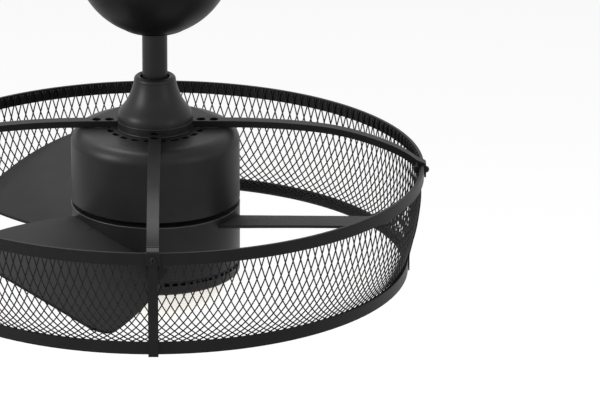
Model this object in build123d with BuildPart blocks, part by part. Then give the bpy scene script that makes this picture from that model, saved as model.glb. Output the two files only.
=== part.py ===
from build123d import *
from math import asin, cos, degrees, hypot, radians, sin, sqrt
import os

# Caged ceiling fan. Millimetres, origin on the ceiling at the fan's axis, +Z up.
# The arms, straps and blades are drawn along +X and turned about Z.

os.makedirs("parts", exist_ok=True)

# Clearances
seat_gap = 0.3
running_gap = 0.05
weld_gap = 0.1

# Sheet thicknesses and screws
sheet_wall = 1.5
screw_radius = 2.0
screw_head_radius = 3.6
screw_head_height = 2.4
screw_hole_radius = 2.3

# Ceiling bracket
bracket_length = 116.0
bracket_width = 30.0
bracket_wall = 2.5
bracket_inside = 59.0
bracket_drop = 66.0
bracket_slot_spacing = 88.9
bracket_slot_length = 14.0
bracket_slot_width = 5.2
wire_hole_radius = 9.0

# Canopy and its screw cover
canopy_radius = 84.0
canopy_wall = 1.2
canopy_bottom_radius = 35.0
canopy_bottom_depth = 71.5
canopy_bulge = 11.8
canopy_flange_inner = 20.0
canopy_groove_depth = 19.0
canopy_groove_width = 1.4
canopy_screw_offset = 25.0
cap_depth = 75.5
cap_flat_radius = 24.6
cap_hole_radius = 16.3

# Remote control receiver
receiver_depth = 36.0
receiver_height = 16.0

# Hanger ball and downrod
ball_radius = 22.0
ball_top_cut = 16.0
ball_bottom_cut = 18.0
rod_radius = 13.35
rod_wall = 2.1
rod_top_above_ball = 17.0
pin_radius = 3.2
pin_clearance = 0.1
cross_pin_length = 34.0

# Cage
rim_drop = 226.0
cage_radius = 285.0
cage_foot_radius = 268.5
cage_height = 116.2
band_height = 13.0
band_wall = 3.0
mesh_wall = 1.2
mesh_wire = 2.2
mesh_bulge = 4.2
mesh_columns = 24
mesh_top_gap = 0.112
mesh_row_ratio = 0.725
mesh_pattern_end = 1.009
mesh_rows = 5
cage_sides = 4

# Cage arms, straps and gussets
arm_width = 12.8
arm_depth = 7.0
arm_rise = 50.2
arm_curve = ((0.333, 49.6), (0.537, 46.2), (0.688, 40.0), (0.835, 27.3), (0.930, 14.6))
arm_tab_width = 15.0
arm_tab_wall = 2.0
arm_hole_radius = 4.8
arm_hole_places = (48.5, 62.0)
tongue_length = 12.0
lug_width = 18.0
lug_drop = 29.0
lug_clearance = 0.8
strap_width = 10.5
strap_flange = 6.0
strap_overhang = 2.4
gusset_reach = 72.0
cage_screw_radius = 3.6
cage_screw_dome = 3.4

# Motor head: heights are measured below the cage's top edge, upwards positive
housing_radius = 89.5
housing_wall = 1.6
housing_top = 42.0
housing_bottom = -35.3
housing_fillet = 15.0
vent_circle_radius = 49.0
vent_count = 22
vent_length = 9.5
vent_width = 6.5
collar_radius = 40.0
coupler_flange_radius = 27.5
coupler_flange_height = 4.0
coupler_radius = 19.0
coupler_height = 38.0
coupler_screw_circle = 23.0
coupler_screw_count = 4
set_screw_drop = 8.0

# Coupling cover
cover_lip_radius = 40.0
cover_neck_radius = 22.2
cover_hole_radius = 15.6
cover_height = 49.0
cover_wall = 1.2

# Rotor
shaft_radius = 10.0
shaft_bore_radius = 6.0
hub_top = -41.5
hub_bottom = -102.4
hub_wall = 2.0
bearing_outer_radius = 16.0
bearing_width = 7.0
stator_radius = 51.5
stator_height = 24.0
stator_teeth = 12
magnet_radius = 52.5
magnet_wall = 4.0
magnet_count = 14
yoke_wall = 3.0

# Blades
blade_count = 3
blade_turn = -1.6
blade_tip_radius = 261.4
blade_height = -56.8
blade_pitch = 19.3
blade_camber = 11.0
blade_edge = 3.0
blade_root_wall = 8.0
blade_root_half_chord = 64.4
blade_mid_half_chord = 82.9
blade_tip_half_chord = 92.3
blade_mid_radius = 160.0
blade_corner = 28.0
blade_stations = (0.214, 0.363, 0.574, 0.784, 1.018)
blade_thin_share = 0.574
blade_screw_offset = 24.0

# Light kit
pan_gap = 0.8
pan_bottom = -117.0
pan_fillet = 3.0
slot_count = 66
slot_height = 3.0
slot_length = 6.2
lens_radius = 81.0
lens_depth = 48.0
lens_wall = 2.0
lens_rim = 5.0
board_radius = 66.0
driver_radius = 66.0
board_wall = 1.6
outer_led_count = 16
inner_led_count = 8
led_width = 5.0
led_height = 1.0
led_post = 1.4

# Places that follow from the sizes above
rim_z = -rim_drop
foot_z = rim_z - cage_height
bracket_floor = -bracket_drop
ball_seat_radius = rod_radius + 3.15
ball_z = bracket_floor + bracket_wall + sqrt((ball_radius + seat_gap) ** 2 - ball_seat_radius ** 2)
rod_top = ball_z + rod_top_above_ball
collar_bottom = rim_z + housing_top + weld_gap
collar_top = rim_z + arm_rise
rod_bottom = collar_top + coupler_flange_height + 2
coupler_top = collar_top + coupler_height
coupler_pin_z = rod_bottom + 14
cover_bottom = collar_top + seat_gap
hub_top_z = rim_z + hub_top
hub_bottom_z = rim_z + hub_bottom
pan_top_z = hub_bottom_z - pan_gap
pan_bottom_z = rim_z + pan_bottom


def save(piece, name):
    """Labels a finished piece and writes its file."""
    piece.label = name
    export_step(piece, f"parts/{name}.step")


def turned(piece, angle):
    """A copy of a piece, turned about the fan's axis."""
    return piece.rotate(Axis.Z, angle)


def shifted(points, distance):
    """The outline points moved to the right of their direction of travel."""
    moved = []
    for index, (x, z) in enumerate(points):
        before = points[max(index - 1, 0)]
        after = points[min(index + 1, len(points) - 1)]
        run, rise = after[0] - before[0], after[1] - before[1]
        length = hypot(run, rise)
        moved.append((x + distance * rise / length, z - distance * run / length))
    return moved


def curved_strip(points, wall, skip=0.0):
    """Draws the outline of a sheet that follows a smooth curve, on its right side."""
    near = shifted(points, skip)
    far = shifted(points, skip + wall)
    Spline(*near)
    Line(near[-1], far[-1])
    Spline(*reversed(far))
    Line(far[0], near[0])


# Ceiling bracket with its ball seat
with BuildPart() as hanger_bracket:
    with BuildSketch(Plane.XY.offset(-bracket_wall)):
        Rectangle(bracket_length, bracket_width)
        with GridLocations(bracket_slot_spacing, 0, 2, 1):
            SlotOverall(bracket_slot_length, bracket_slot_width, mode=Mode.SUBTRACT)
        Circle(wire_hole_radius, mode=Mode.SUBTRACT)
    extrude(amount=bracket_wall)
    leg_offset = (bracket_inside + bracket_wall) / 2
    with BuildSketch(Plane.XY.offset(bracket_floor)):
        with GridLocations(2 * leg_offset, 0, 2, 1):
            Rectangle(bracket_wall, bracket_width)
    extrude(amount=bracket_drop - bracket_wall)
    with BuildSketch(Plane.XY.offset(bracket_floor)):
        Rectangle(bracket_inside + 2 * bracket_wall, bracket_width)
        Circle(ball_seat_radius, mode=Mode.SUBTRACT)
        with GridLocations(2 * canopy_screw_offset, 0, 2, 1):
            Circle(screw_radius + running_gap, mode=Mode.SUBTRACT)
    extrude(amount=bracket_wall)
save(hanger_bracket.part, "hanger_bracket")

# Canopy dome with its inner flange
groove_radius = canopy_radius - 2.0
with BuildPart() as canopy:
    with BuildSketch(Plane.XZ):
        with BuildLine():
            start = (canopy_radius, -seat_gap)
            end = (canopy_bottom_radius, -canopy_bottom_depth)
            run, rise = end[0] - start[0], end[1] - start[1]
            chord = hypot(run, rise)
            middle = ((start[0] + end[0]) / 2 - canopy_bulge * rise / chord,
                      (start[1] + end[1]) / 2 + canopy_bulge * run / chord)
            ThreePointArc(start, middle, end)
            Polyline(end, (canopy_flange_inner, end[1]),
                     (canopy_flange_inner, end[1] + canopy_wall),
                     (end[0] - canopy_wall / 2, end[1] + canopy_wall))
            ThreePointArc((end[0] - canopy_wall / 2, end[1] + canopy_wall),
                          (middle[0] + canopy_wall * rise / chord, middle[1] - canopy_wall * run / chord),
                          (start[0] - canopy_wall, start[1]))
            Line((start[0] - canopy_wall, start[1]), start)
        make_face()
    revolve(axis=Axis.Z)
    with BuildSketch(Plane.XY.offset(-canopy_bottom_depth)):
        with GridLocations(2 * canopy_screw_offset, 0, 2, 1):
            Circle(screw_hole_radius)
    extrude(amount=canopy_wall, mode=Mode.SUBTRACT)
    with BuildSketch(Plane.XY.offset(-canopy_groove_depth)):
        Circle(canopy_radius + 1)
        Circle(groove_radius - canopy_wall / 2, mode=Mode.SUBTRACT)
    extrude(amount=canopy_groove_width, mode=Mode.SUBTRACT)
save(canopy.part, "canopy")

# Screw cover under the canopy
with BuildPart() as canopy_cap:
    with BuildSketch(Plane.XZ):
        with BuildLine():
            Polyline((cap_hole_radius, -cap_depth), (cap_flat_radius, -cap_depth))
            ThreePointArc((cap_flat_radius, -cap_depth),
                          ((cap_flat_radius + canopy_bottom_radius) / 2 + 0.5,
                           -(cap_depth + canopy_bottom_depth) / 2 - 0.6),
                          (canopy_bottom_radius, -canopy_bottom_depth - seat_gap))
            Polyline((canopy_bottom_radius, -canopy_bottom_depth - seat_gap),
                     (canopy_bottom_radius - canopy_wall - 0.6, -canopy_bottom_depth - seat_gap),
                     (cap_flat_radius - 0.4, -cap_depth + canopy_wall),
                     (cap_hole_radius, -cap_depth + canopy_wall),
                     (cap_hole_radius, -cap_depth))
        make_face()
    revolve(axis=Axis.Z)
save(canopy_cap.part, "canopy_cap")

# Canopy screws, driven up into the bracket
canopy_screw_height = 1.6
with BuildPart() as canopy_screws:
    with BuildSketch(Plane.XY.offset(-canopy_bottom_depth - canopy_screw_height)):
        with GridLocations(2 * canopy_screw_offset, 0, 2, 1):
            Circle(screw_head_radius)
    extrude(amount=canopy_screw_height)
    with BuildSketch(Plane.XY.offset(-canopy_bottom_depth)):
        with GridLocations(2 * canopy_screw_offset, 0, 2, 1):
            Circle(screw_radius)
    extrude(amount=canopy_bottom_depth + bracket_floor + bracket_wall + 1)
save(canopy_screws.part, "canopy_screws")

# Receiver box between the bracket's legs
with BuildPart() as remote_receiver:
    with BuildSketch(Plane.XY.offset(-bracket_wall - receiver_height - seat_gap)):
        RectangleRounded(bracket_inside - 2 * seat_gap, receiver_depth, 3)
    extrude(amount=receiver_height)
save(remote_receiver.part, "remote_receiver")

# Hanger ball on the rod's top end
with BuildPart() as hanger_ball:
    with Locations((0, 0, ball_z)):
        Sphere(ball_radius)
    with BuildSketch(Plane.XY.offset(ball_z - ball_bottom_cut)):
        Circle(ball_radius + 1)
    extrude(amount=ball_bottom_cut + ball_top_cut, mode=Mode.INTERSECT)
    with BuildSketch(Plane.XY.offset(ball_z - ball_radius)):
        Circle(rod_radius + running_gap)
    extrude(amount=2 * ball_radius, mode=Mode.SUBTRACT)
    with BuildSketch(Plane.YZ):
        with Locations((0, ball_z)):
            Circle(pin_radius + pin_clearance)
    extrude(amount=ball_radius, both=True, mode=Mode.SUBTRACT)
save(hanger_ball.part, "hanger_ball")

with BuildPart() as cross_pin:
    with BuildSketch(Plane.YZ):
        with Locations((0, ball_z)):
            Circle(pin_radius)
    extrude(amount=cross_pin_length / 2, both=True)
save(cross_pin.part, "cross_pin")

# Downrod with its two cross holes
with BuildPart() as downrod:
    with BuildSketch(Plane.XY.offset(rod_bottom)):
        Circle(rod_radius)
        Circle(rod_radius - rod_wall, mode=Mode.SUBTRACT)
    extrude(amount=rod_top - rod_bottom)
    with BuildSketch(Plane.YZ):
        with Locations((0, ball_z), (0, coupler_pin_z)):
            Circle(pin_radius + pin_clearance)
    extrude(amount=rod_radius + 1, both=True, mode=Mode.SUBTRACT)
save(downrod.part, "downrod")

# Coupler that joins the rod to the motor head
arm_screw_circle = collar_radius - tongue_length / 2
with BuildPart() as rod_coupler:
    with BuildSketch(Plane.XY.offset(collar_top)):
        Circle(coupler_flange_radius)
        with PolarLocations(coupler_screw_circle, coupler_screw_count, start_angle=45):
            Circle(screw_hole_radius, mode=Mode.SUBTRACT)
    extrude(amount=coupler_flange_height)
    with BuildSketch(Plane.XY.offset(collar_top)):
        Circle(coupler_radius)
    extrude(amount=coupler_height)
    with BuildSketch(Plane.XY.offset(rod_bottom - seat_gap)):
        Circle(rod_radius + running_gap)
    extrude(amount=coupler_height, mode=Mode.SUBTRACT)
    with BuildSketch(Plane.XY.offset(collar_top)):
        Circle(shaft_radius + running_gap)
    extrude(amount=coupler_height, mode=Mode.SUBTRACT)
    with BuildSketch(Plane.YZ):
        with Locations((0, coupler_pin_z)):
            Circle(pin_radius + pin_clearance)
    extrude(amount=coupler_radius + 1, both=True, mode=Mode.SUBTRACT)
    with BuildSketch(Plane.XZ):
        with Locations((0, coupler_top - set_screw_drop)):
            Circle(screw_radius + running_gap)
    extrude(amount=coupler_radius + 1, both=True, mode=Mode.SUBTRACT)
save(rod_coupler.part, "rod_coupler")

with BuildPart() as coupler_pin:
    with BuildSketch(Plane.YZ):
        with Locations((0, coupler_pin_z)):
            Circle(pin_radius)
    extrude(amount=coupler_radius + 4, both=True)
save(coupler_pin.part, "coupler_pin")

clip_wall = 1.0
with BuildPart() as pin_clips:
    for side in (-1, 1):
        with BuildSketch(Plane.YZ.offset(side * (coupler_radius + 0.8) - clip_wall / 2)):
            with Locations((0, coupler_pin_z)):
                Circle(pin_radius + 2.5)
                Circle(pin_radius + running_gap, mode=Mode.SUBTRACT)
        extrude(amount=clip_wall)
save(pin_clips.part, "pin_clips")

with BuildPart() as rod_set_screws:
    for side in (-1, 1):
        with BuildSketch(Plane.XZ.offset(side * (rod_radius + 0.2))):
            with Locations((0, coupler_top - set_screw_drop)):
                Circle(screw_radius)
        extrude(amount=side * (coupler_radius - rod_radius))
save(rod_set_screws.part, "rod_set_screws")

# Collar under the arms' tongues
tongue_width = arm_width - 2 * sheet_wall
with BuildPart() as mounting_collar:
    with BuildSketch(Plane.XY.offset(collar_bottom)):
        Circle(collar_radius)
        Circle(shaft_radius + running_gap, mode=Mode.SUBTRACT)
        with PolarLocations(coupler_screw_circle, coupler_screw_count, start_angle=45):
            Circle(screw_radius + running_gap, mode=Mode.SUBTRACT)
        with PolarLocations(arm_screw_circle, cage_sides):
            Circle(screw_radius + running_gap, mode=Mode.SUBTRACT)
    extrude(amount=collar_top - collar_bottom)
    with BuildSketch(Plane.XY.offset(collar_top - sheet_wall - weld_gap)):
        with PolarLocations(collar_radius, cage_sides):
            Rectangle(2 * (tongue_length + weld_gap), tongue_width + 2 * weld_gap)
    extrude(amount=sheet_wall + weld_gap + 1, mode=Mode.SUBTRACT)
save(mounting_collar.part, "mounting_collar")

with BuildPart() as coupler_screws:
    with BuildSketch(Plane.XY.offset(collar_top + coupler_flange_height)):
        with PolarLocations(coupler_screw_circle, coupler_screw_count, start_angle=45):
            Circle(screw_head_radius - 0.2)
    extrude(amount=screw_head_height)
    with BuildSketch(Plane.XY.offset(collar_bottom)):
        with PolarLocations(coupler_screw_circle, coupler_screw_count, start_angle=45):
            Circle(screw_radius)
    extrude(amount=collar_top + coupler_flange_height - collar_bottom)
save(coupler_screws.part, "coupler_screws")

arm_screw_head = 1.4
with BuildPart() as arm_screws:
    with BuildSketch(Plane.XY.offset(collar_top)):
        with PolarLocations(arm_screw_circle, cage_sides):
            Circle(screw_head_radius)
    extrude(amount=arm_screw_head)
    with BuildSketch(Plane.XY.offset(collar_bottom + 1)):
        with PolarLocations(arm_screw_circle, cage_sides):
            Circle(screw_radius)
    extrude(amount=collar_top - collar_bottom - 1)
save(arm_screws.part, "arm_screws")

# Arm: a channel that leaves the collar level and dips over the top band
band_inner = cage_radius - band_wall
lug_face = band_inner - weld_gap - sheet_wall - lug_clearance
arm_end = lug_face - 1.5
arm_top = [(collar_radius + seat_gap, rim_z + arm_rise)]
arm_top += [(share * cage_radius, rim_z + height) for share, height in arm_curve]
arm_top += [(arm_end, rim_z + 5.2)]
screw_z = rim_z - band_height / 2
with BuildPart() as arm:
    with BuildSketch(Plane.XZ):
        with BuildLine():
            curved_strip(arm_top, arm_depth)
        make_face()
    extrude(amount=arm_width / 2, both=True)
    with BuildSketch(Plane.XZ):
        with BuildLine():
            curved_strip(arm_top, arm_depth, skip=sheet_wall)
        make_face()
    extrude(amount=arm_width / 2 - sheet_wall, both=True, mode=Mode.SUBTRACT)
    # tongue that lies in the collar's recess
    with BuildSketch(Plane.XY.offset(collar_top - sheet_wall)):
        with Locations((collar_radius - tongue_length, 0)):
            Rectangle(tongue_length + 4, tongue_width, align=(Align.MIN, Align.CENTER))
    extrude(amount=sheet_wall)
    # lug inside the band
    with BuildSketch(Plane.YZ.offset(lug_face - arm_tab_wall)):
        with BuildLine():
            Polyline((-lug_width / 2, rim_z - 1), (lug_width / 2, rim_z - 1),
                     (lug_width / 2 - 1.5, rim_z - lug_drop), (-lug_width / 2 + 1.5, rim_z - lug_drop),
                     close=True)
        make_face()
        with Locations((0, rim_z + 1)):
            Rectangle(arm_width, 8.4)
    extrude(amount=arm_tab_wall)
    # web over the band's edge and the tab outside it
    with BuildSketch(Plane.XZ):
        with BuildLine():
            tab_inner = cage_radius + weld_gap
            Polyline((arm_end - 2, rim_z + 5.2 + 0.9), (tab_inner + 0.6, rim_z + seat_gap + arm_tab_wall),
                     (tab_inner + arm_tab_wall, rim_z + seat_gap + 0.6),
                     (tab_inner + arm_tab_wall, rim_z - band_height),
                     (tab_inner, rim_z - band_height), (tab_inner, rim_z + seat_gap),
                     (lug_face, rim_z + seat_gap), (arm_end - 2, rim_z + 3.2), close=True)
        make_face()
    extrude(amount=arm_width / 2, both=True)
    with BuildSketch(Plane.YZ.offset(tab_inner)):
        with Locations((0, rim_z)):
            Rectangle(arm_tab_width, band_height, align=(Align.CENTER, Align.MAX))
    extrude(amount=arm_tab_wall)
    with BuildSketch(Plane.XY.offset(rim_z + housing_top)):
        with Locations(*[(place, 0) for place in arm_hole_places]):
            Circle(arm_hole_radius)
        with Locations((arm_screw_circle, 0)):
            Circle(screw_hole_radius)
    extrude(amount=arm_rise, mode=Mode.SUBTRACT)
    with BuildSketch(Plane.YZ.offset(lug_face - 5)):
        with Locations((0, screw_z)):
            Circle(screw_hole_radius)
    extrude(amount=20, mode=Mode.SUBTRACT)
arm_names = ("arm_right", "arm_rear", "arm_left", "arm_front")
for index, name in enumerate(arm_names):
    save(turned(arm.part, 90 * index), name)

# Rear gussets between the collar and the rear three arms
gusset_side = arm_width / 2 + seat_gap
with BuildPart() as rear_gussets:
    with BuildSketch(Plane.XY.offset(collar_top - sheet_wall)):
        for side in (1, -1):
            with BuildLine():
                Polyline((side * gusset_side, gusset_side),
                         (side * (gusset_reach - gusset_side), gusset_side),
                         (side * 0.56 * gusset_reach, 0.56 * gusset_reach),
                         (side * gusset_side, gusset_reach - gusset_side), close=True)
            make_face()
        Circle(collar_radius + weld_gap, mode=Mode.SUBTRACT)
    extrude(amount=sheet_wall)
save(rear_gussets.part, "rear_gussets")

# Cage bands
with BuildPart() as top_band:
    with BuildSketch(Plane.XY.offset(rim_z - band_height)):
        Circle(cage_radius)
        Circle(band_inner, mode=Mode.SUBTRACT)
    extrude(amount=band_height)
    with BuildSketch(Plane.YZ, Plane.XZ):
        with Locations((0, screw_z)):
            Circle(screw_hole_radius)
    extrude(amount=cage_radius + 1, both=True, mode=Mode.SUBTRACT)
save(top_band.part, "top_band")

with BuildPart() as bottom_band:
    with BuildSketch(Plane.XY.offset(foot_z)):
        Circle(cage_foot_radius)
        Circle(cage_foot_radius - band_wall, mode=Mode.SUBTRACT)
    extrude(amount=band_height)
save(bottom_band.part, "bottom_band")

# Side profile shared by the mesh and the straps, from the top band down
mesh_top = (band_inner - weld_gap, rim_z - band_height)
mesh_foot = (cage_foot_radius - band_wall - weld_gap, foot_z + band_height)
mesh_chord = hypot(mesh_foot[0] - mesh_top[0], mesh_foot[1] - mesh_top[1])
mesh_normal = ((mesh_top[1] - mesh_foot[1]) / mesh_chord, (mesh_foot[0] - mesh_top[0]) / mesh_chord)
mesh_middle = ((mesh_top[0] + mesh_foot[0]) / 2 + mesh_bulge * mesh_normal[0],
               (mesh_top[1] + mesh_foot[1]) / 2 + mesh_bulge * mesh_normal[1])
tuck = band_height - 1.5


def mesh_radius(z):
    """The mesh's outer radius at a height, between the bands."""
    share = (mesh_top[1] - z) / (mesh_top[1] - mesh_foot[1])
    chord_radius = mesh_top[0] + share * (mesh_foot[0] - mesh_top[0])
    return chord_radius + 4 * mesh_bulge * share * (1 - share)


def mesh_row(index):
    """The height of a row of wire crossings, closer together towards the bottom."""
    remaining = (mesh_pattern_end - mesh_top_gap) * mesh_row_ratio ** index
    return rim_z - cage_height * (mesh_pattern_end - remaining)


# Mesh panel: one curved sheet between two straps with diamond gaps
side_angle = degrees(asin((strap_width / 2 + weld_gap) / mesh_foot[0]))
column_pitch = 90 / mesh_columns
with BuildPart() as mesh_panel:
    with BuildSketch(Plane.XZ):
        with BuildLine():
            Line((mesh_top[0], mesh_top[1] + tuck), mesh_top)
            ThreePointArc(mesh_top, mesh_middle, mesh_foot)
            Polyline(mesh_foot, (mesh_foot[0], mesh_foot[1] - tuck),
                     (mesh_foot[0] - mesh_wall, mesh_foot[1] - tuck),
                     (mesh_foot[0] - mesh_wall, mesh_foot[1]))
            ThreePointArc((mesh_foot[0] - mesh_wall, mesh_foot[1]),
                          (mesh_middle[0] - mesh_wall, mesh_middle[1]),
                          (mesh_top[0] - mesh_wall, mesh_top[1]))
            Polyline((mesh_top[0] - mesh_wall, mesh_top[1]), (mesh_top[0] - mesh_wall, mesh_top[1] + tuck),
                     (mesh_top[0], mesh_top[1] + tuck))
        make_face()
    revolve(axis=Axis.Z, revolution_arc=90)
    with BuildSketch(Plane.XY.offset(foot_z)):
        with BuildLine():
            cut = strap_width / 2 + weld_gap
            Polyline((cut, cut), (cage_radius, cut), (cage_radius, cage_radius), (cut, cage_radius),
                     close=True)
        make_face()
    extrude(amount=cage_height, mode=Mode.INTERSECT)
    for row in range(1, mesh_rows + 1):
        top, middle, bottom = (mesh_row(index) for index in (row - 1, row, row + 1))
        radius = mesh_radius(middle)
        half = radius * radians(column_pitch) / 2
        count = mesh_columns - 1 if row % 2 else mesh_columns
        planes = []
        for column in range(count):
            angle = (column + (1 if row % 2 else 0.5)) * column_pitch
            direction = (cos(radians(angle)), sin(radians(angle)), 0)
            if radius * sin(radians(min(angle, 90 - angle))) > half + strap_width / 2 + mesh_wire / 2:
                planes.append(Plane(origin=(radius * direction[0], radius * direction[1], middle),
                                    x_dir=(-direction[1], direction[0], 0), z_dir=direction))
        with BuildSketch(*planes):
            with BuildLine():
                Polyline((0, top - middle), (half, 0), (0, bottom - middle), (-half, 0), close=True)
            make_face()
            offset(amount=-mesh_wire / 2, kind=Kind.INTERSECTION, mode=Mode.REPLACE)
        extrude(amount=8, both=True, mode=Mode.SUBTRACT)
for index in range(cage_sides):
    save(turned(mesh_panel.part, 90 * index), f"mesh_panel_{index + 1}")

# Strap: a channel outside the mesh, tucked under the top band and over the bottom band
strap_foot_radius = cage_foot_radius + weld_gap + sheet_wall
strap_outer = [(mesh_top[0], rim_z - 1.5), (mesh_top[0], mesh_top[1]),
               (mesh_radius(rim_z - 35) + 1.2, rim_z - 35),
               (mesh_radius(rim_z - 58) + 1.9, rim_z - 58), (mesh_radius(rim_z - 80) + 2.6, rim_z - 80),
               (strap_foot_radius + 0.2, foot_z + band_height + 2), (strap_foot_radius, foot_z + 7),
               (strap_foot_radius, foot_z - strap_overhang)]
with BuildPart() as strap:
    with BuildSketch(Plane.XZ):
        with BuildLine():
            curved_strip(strap_outer, sheet_wall)
        make_face()
    extrude(amount=strap_width / 2, both=True)
    with BuildSketch(Plane.XZ):
        with BuildLine():
            flange_run = [point for point in strap_outer if foot_z + band_height < point[1] < rim_z - 20]
            curved_strip(flange_run, strap_flange, skip=0.2)
        make_face()
    extrude(amount=strap_width / 2, both=True)
    with BuildSketch(Plane.XZ):
        with BuildLine():
            curved_strip(flange_run, strap_flange + 2, skip=sheet_wall)
        make_face()
    extrude(amount=strap_width / 2 - sheet_wall, both=True, mode=Mode.SUBTRACT)
    with BuildSketch(Plane.YZ.offset(band_inner - 10)):
        with Locations((0, screw_z)):
            Circle(screw_hole_radius)
    extrude(amount=20, mode=Mode.SUBTRACT)
strap_names = ("strap_right", "strap_rear", "strap_left", "strap_front")
for index, name in enumerate(strap_names):
    save(turned(strap.part, 90 * index), name)

# Dome screws and nuts where arm, band and strap meet
tab_face = cage_radius + weld_gap + arm_tab_wall
with BuildPart() as cage_screw:
    with BuildSketch(Plane.XZ):
        with BuildLine():
            Line((tab_face, screw_z), (tab_face, screw_z + cage_screw_radius))
            ThreePointArc((tab_face, screw_z + cage_screw_radius),
                          (tab_face + 0.72 * cage_screw_dome, screw_z + 0.72 * cage_screw_radius),
                          (tab_face + cage_screw_dome, screw_z))
            Line((tab_face + cage_screw_dome, screw_z), (tab_face, screw_z))
        make_face()
    revolve(axis=Axis((0, 0, screw_z), (1, 0, 0)))
    with BuildSketch(Plane.YZ.offset(tab_face + cage_screw_dome)):
        with Locations((0, screw_z)):
            Rectangle(1.0, 1.2 * cage_screw_radius)
    extrude(amount=-0.4 * cage_screw_dome, mode=Mode.SUBTRACT)
    with BuildSketch(Plane.YZ.offset(lug_face - arm_tab_wall - 4)):
        with Locations((0, screw_z)):
            Circle(screw_radius)
    extrude(amount=tab_face - lug_face + arm_tab_wall + 5)
with BuildPart() as cage_nut:
    with BuildSketch(Plane.YZ.offset(lug_face - arm_tab_wall - 3)):
        with Locations((0, screw_z)):
            RegularPolygon(3.8, 6)
            Circle(screw_radius + running_gap, mode=Mode.SUBTRACT)
    extrude(amount=3)
for piece, name in ((cage_screw.part, "cage_screws"), (cage_nut.part, "cage_nuts")):
    whole = piece.solids().sort_by(SortBy.VOLUME)[-1]
    group = [turned(whole, 90 * index) for index in range(cage_sides)]
    save(Compound(children=group), name)

# Coupling cover, a bell that slides up the rod
cover_outer = [(cover_lip_radius, cover_bottom), (cover_lip_radius - 0.2, cover_bottom + 4),
               (38.6, cover_bottom + 9), (34.4, cover_bottom + 15), (29.6, cover_bottom + 22),
               (26.0, cover_bottom + 30), (23.2, cover_bottom + 39), (cover_neck_radius, cover_bottom + 44)]
with BuildPart() as coupling_cover:
    with BuildSketch(Plane.XZ):
        with BuildLine():
            inner = shifted(cover_outer, -cover_wall)
            inner[0] = (cover_lip_radius - cover_wall, cover_bottom)
            neck = cover_outer[-1]
            Spline(*cover_outer)
            ThreePointArc(neck, (neck[0] - 1.2, cover_bottom + cover_height - 1.4),
                          (neck[0] - 4, cover_bottom + cover_height))
            Polyline((neck[0] - 4, cover_bottom + cover_height),
                     (cover_hole_radius, cover_bottom + cover_height - 1),
                     (cover_hole_radius, cover_bottom + cover_height - 1 - cover_wall),
                     (neck[0] - 4, cover_bottom + cover_height - cover_wall), inner[-1])
            Spline(*reversed(inner))
            Line(inner[0], cover_outer[0])
        make_face()
    revolve(axis=Axis.Z)
save(coupling_cover.part, "coupling_cover")

# Upper motor housing with its vent holes, closed by a floor
with BuildPart() as upper_housing:
    with BuildSketch(Plane.XY.offset(rim_z + housing_bottom)):
        Circle(housing_radius)
    extrude(amount=housing_top - housing_bottom)
    fillet(upper_housing.faces().sort_by(Axis.Z)[-1].edges(), housing_fillet)
    offset(amount=-housing_wall, openings=upper_housing.faces().sort_by(Axis.Z)[0])
    with BuildSketch(Plane.XY.offset(rim_z + housing_top)):
        Circle(shaft_radius + running_gap)
        with PolarLocations(vent_circle_radius, vent_count):
            SlotOverall(vent_length, vent_width, rotation=90)
    extrude(amount=-2 * housing_wall, mode=Mode.SUBTRACT)
save(upper_housing.part, "upper_housing")

floor_z = rim_z + housing_bottom + 3
with BuildPart() as housing_floor:
    with BuildSketch(Plane.XY.offset(floor_z)):
        Circle(housing_radius - housing_wall - weld_gap)
        Circle(shaft_radius + running_gap, mode=Mode.SUBTRACT)
    extrude(amount=sheet_wall)
save(housing_floor.part, "housing_floor")

# Driver board on posts above the housing floor
post_height = 8.0
with BuildPart() as driver_board:
    with BuildSketch(Plane.XY.offset(floor_z + sheet_wall + post_height)):
        Circle(driver_radius)
        Circle(shaft_radius + 10, mode=Mode.SUBTRACT)
    extrude(amount=board_wall)
    with BuildSketch(Plane.XY.offset(floor_z + sheet_wall)):
        with PolarLocations(driver_radius - 8, 4, start_angle=45):
            Circle(3)
    extrude(amount=post_height)
    with BuildSketch(Plane.XY.offset(floor_z + sheet_wall + post_height + board_wall)):
        with PolarLocations(driver_radius - 24, 6):
            Rectangle(16, 12)
    extrude(amount=14)
save(driver_board.part, "driver_board")

# Fixed hollow shaft and its end nut
shaft_bottom = pan_bottom_z + 1
with BuildPart() as motor_shaft:
    with BuildSketch(Plane.XY.offset(shaft_bottom)):
        Circle(shaft_radius)
        Circle(shaft_bore_radius, mode=Mode.SUBTRACT)
    extrude(amount=collar_top + coupler_flange_height - shaft_bottom)
save(motor_shaft.part, "motor_shaft")

# Rotor: cover, hub shell, yoke and magnets, on two bearings
cover_plate = 2.0
bearing_boss = 3.5
upper_bearing_z = hub_top_z - cover_plate - bearing_width
lower_bearing_z = hub_bottom_z + cover_plate
with BuildPart() as rotor_cover:
    with BuildSketch(Plane.XY.offset(hub_top_z - cover_plate)):
        Circle(housing_radius - hub_wall - weld_gap)
        Circle(shaft_radius + 2, mode=Mode.SUBTRACT)
    extrude(amount=cover_plate)
    with BuildSketch(Plane.XY.offset(upper_bearing_z)):
        Circle(bearing_outer_radius + bearing_boss)
        Circle(bearing_outer_radius + running_gap, mode=Mode.SUBTRACT)
    extrude(amount=bearing_width)
save(rotor_cover.part, "rotor_cover")

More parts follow.
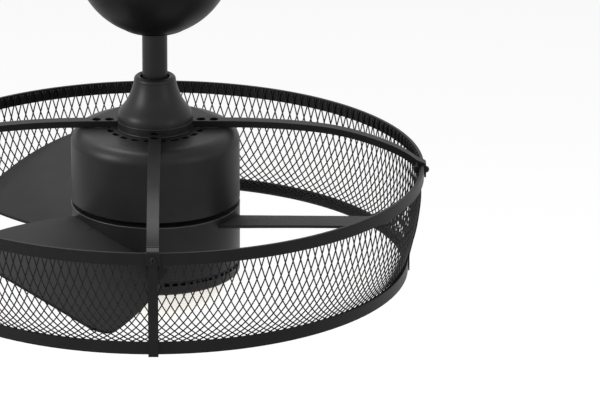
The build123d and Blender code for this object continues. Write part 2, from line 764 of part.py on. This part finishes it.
blade_screw_z = rim_z + blade_height - 4
with BuildPart() as hub_shell:
    with BuildSketch(Plane.XY.offset(hub_bottom_z)):
        Circle(housing_radius)
        Circle(shaft_radius + 2, mode=Mode.SUBTRACT)
    extrude(amount=cover_plate)
    with BuildSketch(Plane.XY.offset(hub_bottom_z)):
        Circle(housing_radius)
        Circle(housing_radius - hub_wall, mode=Mode.SUBTRACT)
    extrude(amount=hub_top - hub_bottom)
    with BuildSketch(Plane.XY.offset(lower_bearing_z)):
        Circle(bearing_outer_radius + bearing_boss)
        Circle(bearing_outer_radius + running_gap, mode=Mode.SUBTRACT)
    extrude(amount=bearing_width)

for name, height in (("upper_bearing", upper_bearing_z), ("lower_bearing", lower_bearing_z)):
    with BuildPart() as bearing:
        with BuildSketch(Plane.XY.offset(height)):
            Circle(bearing_outer_radius)
            Circle(shaft_radius + running_gap, mode=Mode.SUBTRACT)
        extrude(amount=bearing_width)
    save(bearing.part, name)

yoke_inner = magnet_radius + magnet_wall
stator_z = rim_z - 84.0
yoke_bottom = hub_bottom_z + cover_plate
with BuildPart() as rotor_yoke:
    with BuildSketch(Plane.XY.offset(yoke_bottom)):
        Circle(yoke_inner + yoke_wall)
        Circle(yoke_inner - 10, mode=Mode.SUBTRACT)
    extrude(amount=2)
    with BuildSketch(Plane.XY.offset(yoke_bottom)):
        Circle(yoke_inner + yoke_wall)
        Circle(yoke_inner, mode=Mode.SUBTRACT)
    extrude(amount=stator_z + stator_height + 2 - yoke_bottom)
save(rotor_yoke.part, "rotor_yoke")

magnet_angle = 360 / magnet_count - 3
with BuildPart() as magnets:
    with BuildSketch(Plane.XY.offset(stator_z)):
        Circle(yoke_inner - running_gap)
        Circle(magnet_radius, mode=Mode.SUBTRACT)
        with PolarLocations((magnet_radius + yoke_inner) / 2, magnet_count):
            Rectangle(2 * magnet_wall, 3, mode=Mode.SUBTRACT)
    extrude(amount=stator_height)
save(magnets.part, "magnets")

# Stator on the shaft
with BuildPart() as stator_core:
    with BuildSketch(Plane.XY.offset(stator_z)):
        Circle(stator_radius)
        Circle(stator_radius - 4, mode=Mode.SUBTRACT)
        Circle(24)
        with PolarLocations(36, stator_teeth):
            Rectangle(26, 6)
        with PolarLocations(stator_radius, stator_teeth, start_angle=180 / stator_teeth):
            Rectangle(12, 3, mode=Mode.SUBTRACT)
        Circle(shaft_radius + running_gap, mode=Mode.SUBTRACT)
    extrude(amount=stator_height)
save(stator_core.part, "stator_core")

coil_wall = 2.0
with BuildPart() as stator_coils:
    with BuildSketch(Plane.XY.offset(stator_z - coil_wall)):
        with PolarLocations(37, stator_teeth):
            Rectangle(16, 6 + 2 * coil_wall)
    extrude(amount=stator_height + 2 * coil_wall)
    with BuildSketch(Plane.XY.offset(stator_z - weld_gap)):
        with PolarLocations(37, stator_teeth):
            Rectangle(20, 6 + 2 * weld_gap)
    extrude(amount=stator_height + 2 * weld_gap, mode=Mode.SUBTRACT)
save(stator_coils.part, "stator_coils")


def half_chord(radius):
    """Half the blade's width at a distance along the blade."""
    low, high = housing_radius, blade_tip_radius
    share = (radius - low) / (high - low)
    mid_share = (blade_mid_radius - low) / (high - low)
    straight = blade_root_half_chord + (blade_tip_half_chord - blade_root_half_chord) * share
    straight_mid = blade_root_half_chord + (blade_tip_half_chord - blade_root_half_chord) * mid_share
    bow = (blade_mid_half_chord - straight_mid) / (mid_share * (1 - mid_share))
    return straight + bow * share * (1 - share)


# Blade: a cambered, pitched sheet cut to its outline
slope = sin(radians(blade_pitch)) / cos(radians(blade_pitch))
wide = 1.12
with BuildPart() as blade:
    for share in blade_stations:
        radius = share * blade_tip_radius
        thinning = max(0, (blade_thin_share - share) / (blade_thin_share - blade_stations[0]))
        thick = blade_edge + (blade_root_wall - blade_edge) * thinning
        reach = wide * half_chord(radius)
        edge_z = rim_z + blade_height - blade_camber * wide ** 2
        crown = rim_z + blade_height
        with BuildSketch(Plane.YZ.offset(radius)):
            with BuildLine():
                lead = (-reach, edge_z + reach * slope)
                trail = (reach, edge_z - reach * slope)
                ThreePointArc(lead, (0, crown), trail)
                Line(trail, (trail[0], trail[1] - blade_edge))
                ThreePointArc((trail[0], trail[1] - blade_edge), (0, crown - thick),
                              (lead[0], lead[1] - blade_edge))
                Line((lead[0], lead[1] - blade_edge), lead)
            make_face()
    loft()
    root_x, mid_x, tip_x = 58, blade_mid_radius, blade_tip_radius + 4
    with BuildSketch(Plane.XY.offset(rim_z - cage_height)) as outline:
        with BuildLine():
            Spline((root_x, half_chord(root_x)), (mid_x, half_chord(mid_x)), (tip_x, half_chord(tip_x)))
            Line((tip_x, half_chord(tip_x)), (tip_x, -half_chord(tip_x)))
            Spline((tip_x, -half_chord(tip_x)), (mid_x, -half_chord(mid_x)), (root_x, -half_chord(root_x)))
            Line((root_x, -half_chord(root_x)), (root_x, half_chord(root_x)))
        make_face()
        Circle(blade_tip_radius, mode=Mode.INTERSECT)
        Circle(housing_radius + weld_gap, mode=Mode.SUBTRACT)
        tips = [corner for corner in outline.vertices() if hypot(corner.X, corner.Y) > blade_tip_radius - 1]
        fillet(tips, blade_corner)
    extrude(amount=cage_height, mode=Mode.INTERSECT)
    for offset_y in (-blade_screw_offset, blade_screw_offset):
        pilot_z = blade_screw_z - offset_y * slope
        with BuildSketch(Plane.YZ.offset(shaft_radius)):
            with Locations((offset_y, pilot_z)):
                Circle(screw_radius + running_gap)
        extrude(amount=housing_radius + 8, mode=Mode.SUBTRACT)
blade_names = [f"blade_{index + 1}" for index in range(blade_count)]
blade_angles = [blade_turn + 360 / blade_count * index for index in range(blade_count)]
for name, angle in zip(blade_names, blade_angles):
    save(turned(blade.part, angle), name)

# Blade screws, driven out through the hub shell's wall
shell_inner = housing_radius - hub_wall
screw_seat = sqrt(shell_inner ** 2 - (blade_screw_offset + screw_head_radius) ** 2)
with BuildPart() as blade_screw_pair:
    for offset_y in (-blade_screw_offset, blade_screw_offset):
        pilot_z = blade_screw_z - offset_y * slope
        with BuildSketch(Plane.YZ.offset(screw_seat - weld_gap)):
            with Locations((offset_y, pilot_z)):
                Circle(screw_head_radius)
        extrude(amount=-screw_head_height)
        with BuildSketch(Plane.YZ.offset(screw_seat - weld_gap)):
            with Locations((offset_y, pilot_z)):
                Circle(screw_radius)
        extrude(amount=17)
with BuildPart() as shell_holes:
    for offset_y in (-blade_screw_offset, blade_screw_offset):
        with BuildSketch(Plane.YZ.offset(shaft_radius + 50)):
            with Locations((offset_y, blade_screw_z - offset_y * slope)):
                Circle(screw_radius + running_gap)
        extrude(amount=housing_radius)
all_screws = []
with hub_shell:
    for angle in blade_angles:
        add(turned(shell_holes.part, angle), mode=Mode.SUBTRACT)
        all_screws += turned(blade_screw_pair.part, angle).solids()
save(hub_shell.part, "hub_shell")
save(Compound(children=all_screws), "blade_screws")

# Light pan: a slotted rim, a ceiling plate and a rolled lower edge
plate_z = pan_top_z - slot_height - 2.4
with BuildPart() as light_pan:
    with BuildSketch(Plane.XY.offset(pan_bottom_z)):
        Circle(housing_radius)
    extrude(amount=pan_top_z - pan_bottom_z)
    fillet(light_pan.faces().sort_by(Axis.Z)[0].edges(), pan_fillet)
    with BuildSketch(Plane.XY.offset(pan_bottom_z)):
        Circle(lens_radius + seat_gap)
    extrude(amount=plate_z - sheet_wall - pan_bottom_z, mode=Mode.SUBTRACT)
    with BuildSketch(Plane.XY.offset(plate_z)):
        Circle(housing_radius - housing_wall)
    extrude(amount=pan_top_z - plate_z, mode=Mode.SUBTRACT)
    with BuildSketch(Plane.XY.offset(plate_z - sheet_wall)):
        Circle(shaft_radius + running_gap)
    extrude(amount=2 * sheet_wall, mode=Mode.SUBTRACT)
    with BuildSketch(Plane.XY.offset(pan_top_z - 0.6 - slot_height)):
        with PolarLocations(housing_radius, slot_count):
            Rectangle(4 * housing_wall, slot_length)
    extrude(amount=slot_height, mode=Mode.SUBTRACT)
save(light_pan.part, "light_pan")

with BuildPart() as pan_nut:
    with BuildSketch(Plane.XY.offset(plate_z - sheet_wall - 4)):
        RegularPolygon(15, 6)
        Circle(shaft_radius + running_gap, mode=Mode.SUBTRACT)
    extrude(amount=4)
save(pan_nut.part, "pan_nut")

# LED board and its lights
board_z = plate_z - sheet_wall - led_post - board_wall
with BuildPart() as led_board:
    with BuildSketch(Plane.XY.offset(board_z)):
        Circle(board_radius)
        Circle(18, mode=Mode.SUBTRACT)
    extrude(amount=board_wall)
    with BuildSketch(Plane.XY.offset(board_z + board_wall)):
        with PolarLocations(50, 3, start_angle=30):
            Circle(4)
    extrude(amount=led_post)
save(led_board.part, "led_board")

with BuildPart() as led_chips:
    with BuildSketch(Plane.XY.offset(board_z - led_height)):
        with PolarLocations(board_radius - 10, outer_led_count):
            Rectangle(led_width, led_width)
        with PolarLocations(board_radius - 32, inner_led_count):
            Rectangle(led_width, led_width)
    extrude(amount=led_height)
save(led_chips.part, "led_chips")

# Opal lens: half an ellipsoid with a plain rim
lens_top_z = pan_bottom_z + lens_rim
inner_lens = lens_radius - lens_wall
with BuildPart() as lens:
    with BuildSketch(Plane.XZ):
        with BuildLine():
            Line((lens_radius, lens_top_z), (lens_radius, pan_bottom_z))
            EllipticalCenterArc((0, pan_bottom_z), lens_radius, lens_depth, start_angle=270, arc_size=90)
            Line((0, pan_bottom_z - lens_depth), (0, pan_bottom_z - lens_depth + lens_wall))
            EllipticalCenterArc((0, pan_bottom_z), inner_lens, lens_depth - lens_wall,
                                start_angle=270, arc_size=90)
            Polyline((inner_lens, pan_bottom_z), (inner_lens, lens_top_z), (lens_radius, lens_top_z))
        make_face()
    revolve(axis=Axis.Z)
save(lens.part, "lens")
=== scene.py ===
from math import cos, pi, radians, sin

import bmesh
import bpy
from mathutils import Matrix, Vector


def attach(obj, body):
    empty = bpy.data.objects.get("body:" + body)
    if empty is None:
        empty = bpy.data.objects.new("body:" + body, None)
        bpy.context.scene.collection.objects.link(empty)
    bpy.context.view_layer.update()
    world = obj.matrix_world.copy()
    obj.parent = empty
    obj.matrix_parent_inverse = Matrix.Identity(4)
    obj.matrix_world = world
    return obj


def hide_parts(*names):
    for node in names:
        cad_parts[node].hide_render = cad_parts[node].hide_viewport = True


# Caged ceiling fan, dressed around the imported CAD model. Metres, origin on the ceiling, +Z up.
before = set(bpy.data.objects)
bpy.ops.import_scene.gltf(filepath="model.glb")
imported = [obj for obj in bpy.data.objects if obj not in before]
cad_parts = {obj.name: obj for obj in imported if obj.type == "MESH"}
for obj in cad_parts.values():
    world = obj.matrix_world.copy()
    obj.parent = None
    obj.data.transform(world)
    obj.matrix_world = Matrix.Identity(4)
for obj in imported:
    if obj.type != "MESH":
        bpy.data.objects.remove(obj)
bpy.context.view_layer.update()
scene = bpy.context.scene
scene.view_settings.view_transform = "Standard"

# Camera: fitted to the edges of both cage bands in the photograph
IMAGE_WIDTH = 600
SENSOR_WIDTH = 36.0
FOCAL_PIXELS = 7317.6
CAMERA_DISTANCE = 7.7654
CAMERA_ELEVATION = 0.3279
CENTRE_RIGHT = 144.31
CENTRE_DOWN = 36.90
CAMERA_ROLL = 0.006
CAMERA_TURN = radians(0.7)

# Sizes and heights, the same as the CAD model's
RIM_Z = -0.226
CAGE_HEIGHT = 0.1162
BAND_HEIGHT = 0.013
MESH_TOP_RADIUS = 0.2819
MESH_FOOT_RADIUS = 0.2654
MESH_BULGE = 0.0042
HOUSING_RADIUS = 0.0895
HUB_TOP_Z = -0.2675
BELL_RADIUS = 0.040
BELL_BOTTOM_Z = -0.1755
COLLAR_BOTTOM_Z = -0.1839

# Fine mesh: as many wires lean each way round, and they cross in rows that get closer towards the foot
WIRE_TURN = 192
WIRE_RADIUS = 0.0007
WIRE_INSET = 0.001
WIRE_LAYER = 0.0002
WIRE_SIDES = 6
WIRE_START = 0.012
WIRE_STOP = 0.985
ROW_FIRST = 0.681
ROW_RATIO = 0.855
ROW_END = 1.009
QUARTERS = 4

# Rounded lips along the edges of the hub, the bell and the collar under it, in a lighter coat that paints a
# highlight line along each edge
LIP_STEPS = 160
LIP_SIDES = 8
LIP_OVERHANG = 0.0003
HUB_LIP = 0.0005
BELL_LIP = 0.0004
COLLAR_LIP_INSET = 0.0002
COLLAR_LIP_RISE = 0.0005

# Studio
FLOOR_Z = -1.9
FLOOR_SIZE = 60.0
FLOOR_GREY = 0.5
FLOOR_GLOW = 0.70
AMBIENT = 0.36
BACKDROP = 0.97
GLOW_COLOUR = (1.0, 0.97, 0.86, 1)
GLOSS_SPREAD = 0.08
RELIEF_DEPTH = 0.0002
FAN_CENTRE = (0, 0, RIM_Z)


def set_camera():
    """Places the camera and turns it towards the middle of the photograph."""
    data = bpy.data.cameras.new("camera")
    data.sensor_fit = "HORIZONTAL"
    data.sensor_width = SENSOR_WIDTH
    data.lens = FOCAL_PIXELS * SENSOR_WIDTH / IMAGE_WIDTH
    data.clip_start = 0.05
    data.clip_end = 200.0
    camera = bpy.data.objects.new("camera", data)
    scene.collection.objects.link(camera)
    ahead = Vector((0, cos(CAMERA_ELEVATION), -sin(CAMERA_ELEVATION)))
    above = Vector((0, sin(CAMERA_ELEVATION), cos(CAMERA_ELEVATION)))
    right = Vector((1, 0, 0))
    view = (ahead * FOCAL_PIXELS + right * CENTRE_RIGHT - above * CENTRE_DOWN).normalized()
    up = above + right * CAMERA_ROLL
    side = view.cross(up).normalized()
    up = side.cross(view)
    turn = Matrix((side, up, -view)).transposed().to_4x4()
    place = Vector((0, 0, RIM_Z)) - ahead * CAMERA_DISTANCE
    camera.matrix_world = Matrix.Rotation(CAMERA_TURN, 4, "Z") @ Matrix.Translation(place) @ turn
    bpy.context.scene.camera = camera


def add_light(name, place, target, size, power):
    """A square softbox that faces a point."""
    data = bpy.data.lights.new(name, "AREA")
    data.shape = "SQUARE"
    data.size = size
    data.energy = power
    light = bpy.data.objects.new(name, data)
    light.location = place
    light.rotation_euler = (Vector(target) - Vector(place)).to_track_quat("-Z", "Y").to_euler()
    scene.collection.objects.link(light)


def set_world(ambient, backdrop):
    """A soft ambient light, with a white background for the camera, mirrors and glass."""
    world = bpy.data.worlds.new("studio")
    scene.world = world
    world.use_nodes = True
    tree = world.node_tree
    tree.nodes.clear()
    out = tree.nodes.new("ShaderNodeOutputWorld")
    mix = tree.nodes.new("ShaderNodeMixShader")
    soft = tree.nodes.new("ShaderNodeBackground")
    soft.inputs["Color"].default_value = (1, 1, 1, 1)
    soft.inputs["Strength"].default_value = ambient
    white = tree.nodes.new("ShaderNodeBackground")
    white.inputs["Color"].default_value = (1, 1, 1, 1)
    white.inputs["Strength"].default_value = backdrop
    tree.links.new(seen_directly(tree), mix.inputs[0])
    tree.links.new(soft.outputs[0], mix.inputs[1])
    tree.links.new(white.outputs[0], mix.inputs[2])
    tree.links.new(mix.outputs[0], out.inputs[0])


def seen_directly(tree):
    """A socket that is 1 for rays from the camera, a mirror or glass."""
    path = tree.nodes.new("ShaderNodeLightPath")
    total = path.outputs["Is Camera Ray"]
    for name in ("Is Glossy Ray", "Is Transmission Ray"):
        peak = tree.nodes.new("ShaderNodeMath")
        peak.operation = "MAXIMUM"
        tree.links.new(total, peak.inputs[0])
        tree.links.new(path.outputs[name], peak.inputs[1])
        total = peak.outputs[0]
    return total


def add_floor():
    """A pale floor that keeps the shadow and meets the white background."""
    mesh = bmesh.new()
    bmesh.ops.create_grid(mesh, x_segments=4, y_segments=4, size=FLOOR_SIZE)
    data = bpy.data.meshes.new("floor")
    mesh.to_mesh(data)
    mesh.free()
    floor = bpy.data.objects.new("floor", data)
    floor.location.z = FLOOR_Z
    scene.collection.objects.link(floor)
    made = bpy.data.materials.new("floor")
    made.use_nodes = True
    tree = made.node_tree
    tree.nodes.clear()
    out = tree.nodes.new("ShaderNodeOutputMaterial")
    total = tree.nodes.new("ShaderNodeAddShader")
    matte = tree.nodes.new("ShaderNodeBsdfDiffuse")
    matte.inputs["Color"].default_value = (FLOOR_GREY, FLOOR_GREY, FLOOR_GREY, 1)
    glow = tree.nodes.new("ShaderNodeEmission")
    level = tree.nodes.new("ShaderNodeMath")
    level.operation = "MULTIPLY"
    level.inputs[1].default_value = FLOOR_GLOW
    tree.links.new(seen_directly(tree), level.inputs[0])
    tree.links.new(level.outputs[0], glow.inputs["Strength"])
    tree.links.new(matte.outputs[0], total.inputs[0])
    tree.links.new(glow.outputs[0], total.inputs[1])
    tree.links.new(total.outputs[0], out.inputs[0])
    data.materials.append(made)


def finish(name, colour, rough, grain=1400.0, bump=0.12, spread=0.18, metal=0.0, specular=0.22,
           soft_edge=0.0005, glow=0.0, mottle=38.0):
    """A surface whose colour varies in broad soft patches, and its gloss and height in a fine grain."""
    made = bpy.data.materials.new(name)
    made.use_nodes = True
    tree = made.node_tree
    shader = tree.nodes["Principled BSDF"]
    shader.inputs["Metallic"].default_value = metal
    shader.inputs["Specular IOR Level"].default_value = specular
    place = tree.nodes.new("ShaderNodeTexCoord")

    def noise(scale, detail):
        node = tree.nodes.new("ShaderNodeTexNoise")
        node.inputs["Scale"].default_value = scale
        node.inputs["Detail"].default_value = detail
        tree.links.new(place.outputs["Object"], node.inputs["Vector"])
        return node.outputs[0]

    patches = noise(mottle, 4.0)
    fine = noise(grain, 2.0)
    ramp = tree.nodes.new("ShaderNodeValToRGB")
    ramp.color_ramp.elements[0].position = 0.3
    ramp.color_ramp.elements[1].position = 0.7
    ramp.color_ramp.elements[0].color = [part * (1 - spread) for part in colour] + [1]
    ramp.color_ramp.elements[1].color = [min(1.0, part * (1 + spread)) for part in colour] + [1]
    tree.links.new(patches, ramp.inputs[0])
    tree.links.new(ramp.outputs[0], shader.inputs["Base Color"])
    gloss = tree.nodes.new("ShaderNodeMapRange")
    gloss.inputs["To Min"].default_value = rough - GLOSS_SPREAD
    gloss.inputs["To Max"].default_value = rough + GLOSS_SPREAD
    tree.links.new(fine, gloss.inputs["Value"])
    tree.links.new(gloss.outputs[0], shader.inputs["Roughness"])
    relief = tree.nodes.new("ShaderNodeBump")
    relief.inputs["Strength"].default_value = bump
    relief.inputs["Distance"].default_value = RELIEF_DEPTH
    tree.links.new(fine, relief.inputs["Height"])
    if soft_edge:
        edge = tree.nodes.new("ShaderNodeBevel")
        edge.samples = 4
        edge.inputs["Radius"].default_value = soft_edge
        tree.links.new(edge.outputs[0], relief.inputs["Normal"])
    tree.links.new(relief.outputs[0], shader.inputs["Normal"])
    if glow:
        shader.inputs["Emission Color"].default_value = GLOW_COLOUR
        shader.inputs["Emission Strength"].default_value = glow
    return made


def dress(material, *nodes):
    """Gives CAD nodes a material."""
    for name in nodes:
        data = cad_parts[name].data
        data.materials.clear()
        data.materials.append(material)


def wire_radius(z):
    """The mesh's radius at a height, bulging between the bands."""
    top, foot = RIM_Z - BAND_HEIGHT, RIM_Z - CAGE_HEIGHT + BAND_HEIGHT
    share = min(max((top - z) / (top - foot), 0.0), 1.0)
    straight = MESH_TOP_RADIUS + share * (MESH_FOOT_RADIUS - MESH_TOP_RADIUS)
    return straight + 4 * MESH_BULGE * share * (1 - share) - WIRE_INSET


def edge_line(name, radius, z, thickness, body, material):
    """A thin rounded lip round the fan's axis, which catches the light along an edge; a lighter material on it
    paints a highlight line there.
    """
    mesh = bmesh.new()
    rings = []
    sides = LIP_SIDES
    for step in range(LIP_STEPS):
        angle = 2 * pi * step / LIP_STEPS
        out = Vector((cos(angle), sin(angle), 0))
        centre = radius * out + Vector((0, 0, z))
        up = Vector((0, 0, 1))
        rings.append([mesh.verts.new(centre + thickness * (cos(2 * pi * k / sides) * out
                                                           + sin(2 * pi * k / sides) * up))
                      for k in range(sides)])
    for low, high in zip(rings, rings[1:] + rings[:1]):
        for k in range(sides):
            after = (k + 1) % sides
            mesh.faces.new((low[k], low[after], high[after], high[k])).smooth = True
    bmesh.ops.recalc_face_normals(mesh, faces=mesh.faces)
    data = bpy.data.meshes.new(name)
    mesh.to_mesh(data)
    mesh.free()
    data.materials.append(material)
    piece = bpy.data.objects.new(name, data)
    scene.collection.objects.link(piece)
    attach(piece, body)


def crossing_rows():
    """Heights of the rows where wires cross, and how far round each wire has gone by then."""
    step = pi / WIRE_TURN
    rows = [(ROW_END - ROW_FIRST * ROW_RATIO ** index, index * step) for index in range(-3, 22)]
    rows = [row for row in rows if row[0] < WIRE_STOP]
    (share, turn), (next_share, next_turn) = rows[:2]
    part = (WIRE_START - share) / (next_share - share)
    rows[0] = (WIRE_START, turn + part * (next_turn - turn))
    return rows


def add_tube(mesh, points, radius, sides=WIRE_SIDES):
    """A closed round tube through points on the cage's side."""
    rings = []
    for index, point in enumerate(points):
        ahead = points[min(index + 1, len(points) - 1)] - points[max(index - 1, 0)]
        ahead.normalize()
        out = Vector((point.x, point.y, 0)).normalized()
        across = ahead.cross(out).normalized()
        out = across.cross(ahead)
        rings.append([mesh.verts.new(point + radius * (cos(2 * pi * k / sides) * out
                                                       + sin(2 * pi * k / sides) * across))
                      for k in range(sides)])
    for low, high in zip(rings, rings[1:]):
        for k in range(sides):
            after = (k + 1) % sides
            face = mesh.faces.new((low[k], low[after], high[after], high[k]))
            face.smooth = True
    mesh.faces.new(rings[0][::-1])
    mesh.faces.new(rings[-1])


def cage_wires():
    """The fine diamond mesh, one piece to each quarter, ending behind the straps and bands."""
    rows = crossing_rows()
    quarters = [bmesh.new() for _ in range(QUARTERS)]
    for lean in (-1, 1):
        for wire in range(WIRE_TURN):
            start = 2 * pi * wire / WIRE_TURN
            path = []
            for (share, turn), (next_share, next_turn) in zip(rows, rows[1:]):
                for part in (0.0, 0.5):
                    path.append((share + part * (next_share - share), turn + part * (next_turn - turn)))
            path.append(rows[-1])
            run, current = [], None
            for share, turn in path:
                angle = start + lean * turn
                z = RIM_Z - CAGE_HEIGHT * share
                radius = wire_radius(z) + lean * WIRE_LAYER
                point = Vector((radius * cos(angle), radius * sin(angle), z))
                quarter = int((angle % (2 * pi)) // (pi / 2)) % QUARTERS
                if current is None or quarter == current:
                    run.append(point)
                    current = quarter
                else:
                    run.append(point)
                    if len(run) > 1:
                        add_tube(quarters[current], run, WIRE_RADIUS)
                    run, current = [point], quarter
            if len(run) > 1:
                add_tube(quarters[current], run, WIRE_RADIUS)
    pieces = []
    for index, mesh in enumerate(quarters):
        bmesh.ops.recalc_face_normals(mesh, faces=mesh.faces)
        data = bpy.data.meshes.new(f"cage_mesh_{index + 1}")
        mesh.to_mesh(data)
        mesh.free()
        piece = bpy.data.objects.new(f"cage_mesh_{index + 1}", data)
        scene.collection.objects.link(piece)
        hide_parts(f"mesh_panel_{index + 1}")
        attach(piece, "fan")
        pieces.append(piece)
    return pieces


set_camera()
set_world(ambient=AMBIENT, backdrop=BACKDROP)
add_light("top", (-0.6, 0.9, 3.2), FAN_CENTRE, 2.2, 150.0)
add_light("left", (-3.0, -1.2, 0.9), FAN_CENTRE, 1.2, 62.0)
add_light("fill", (3.0, -2.4, 0.6), FAN_CENTRE, 1.6, 15.0)
add_floor()

coat = finish("black_powder_coat", (0.014, 0.014, 0.0142), 0.42, specular=0.25)
canopy_coat = finish("canopy_powder_coat", (0.0065, 0.0065, 0.0066), 0.4, specular=0.12)
cage_coat = finish("cage_powder_coat", (0.010, 0.010, 0.0103), 0.46, spread=0.2, specular=0.15)
wire_coat = finish("wire_powder_coat", (0.007, 0.007, 0.0072), 0.55, soft_edge=0.0)
blade_coat = finish("blade_plastic", (0.023, 0.023, 0.0236), 0.6,
                    grain=900.0, bump=0.08, spread=0.08, specular=0.12)
dark_plastic = finish("dark_plastic", (0.02, 0.02, 0.02), 0.5)
zinc = finish("zinc_steel", (0.5, 0.5, 0.51), 0.35, metal=1.0, spread=0.12)
ground_steel = finish("bearing_steel", (0.6, 0.6, 0.62), 0.22, metal=1.0, spread=0.06)
laminations = finish("laminations", (0.18, 0.18, 0.19), 0.5, metal=0.6)
copper = finish("copper_winding", (0.55, 0.25, 0.1), 0.35, grain=700.0, bump=0.5, metal=1.0)
board = finish("white_board", (0.82, 0.82, 0.8), 0.45, spread=0.03)
phosphor = finish("led_phosphor", (0.9, 0.75, 0.25), 0.4, spread=0.05)
opal = finish("opal_lens", (0.93, 0.925, 0.88), 0.3, grain=300.0, bump=0.02, spread=0.015, glow=0.5,
              soft_edge=0.0, mottle=12.0)

arms = ("arm_right", "arm_rear", "arm_left", "arm_front")
straps = ("strap_right", "strap_rear", "strap_left", "strap_front")
dress(canopy_coat, "canopy", "canopy_cap")
dress(coat, "blade_screws", "downrod", "rod_coupler", "mounting_collar", "coupling_cover",
      "upper_housing", "housing_floor", "rotor_cover", "hub_shell", "light_pan")
dress(cage_coat, "top_band", "bottom_band", "rear_gussets", "cage_screws", "cage_nuts", *arms, *straps)
dress(cage_coat, *[f"mesh_panel_{index + 1}" for index in range(QUARTERS)])
dress(blade_coat, "blade_1", "blade_2", "blade_3")
dress(dark_plastic, "hanger_ball", "remote_receiver")
dress(zinc, "hanger_bracket", "canopy_screws", "cross_pin", "coupler_pin", "pin_clips", "rod_set_screws",
      "coupler_screws", "arm_screws", "pan_nut", "motor_shaft")
dress(ground_steel, "upper_bearing", "lower_bearing")
dress(laminations, "stator_core", "rotor_yoke", "magnets")
dress(copper, "stator_coils")
dress(board, "driver_board", "led_board")
dress(phosphor, "led_chips")
dress(opal, "lens")

for piece in cage_wires():
    piece.data.materials.append(wire_coat)

# The lips' lighter, glossier coat is a painted highlight along the edges of the hub, the bell and the collar.
highlight_lip_coat = finish("painted_highlight_lip_coat", (0.06, 0.06, 0.062), 0.35, specular=0.5, soft_edge=0.0)
edge_line("hub_lip", HOUSING_RADIUS - LIP_OVERHANG, HUB_TOP_Z, HUB_LIP, "rotor", highlight_lip_coat)
edge_line("bell_lip", BELL_RADIUS - LIP_OVERHANG, BELL_BOTTOM_Z + BELL_LIP, BELL_LIP, "coupling_cover", highlight_lip_coat)
edge_line("collar_lip", BELL_RADIUS - COLLAR_LIP_INSET, COLLAR_BOTTOM_Z + COLLAR_LIP_RISE, BELL_LIP, "fan", highlight_lip_coat)
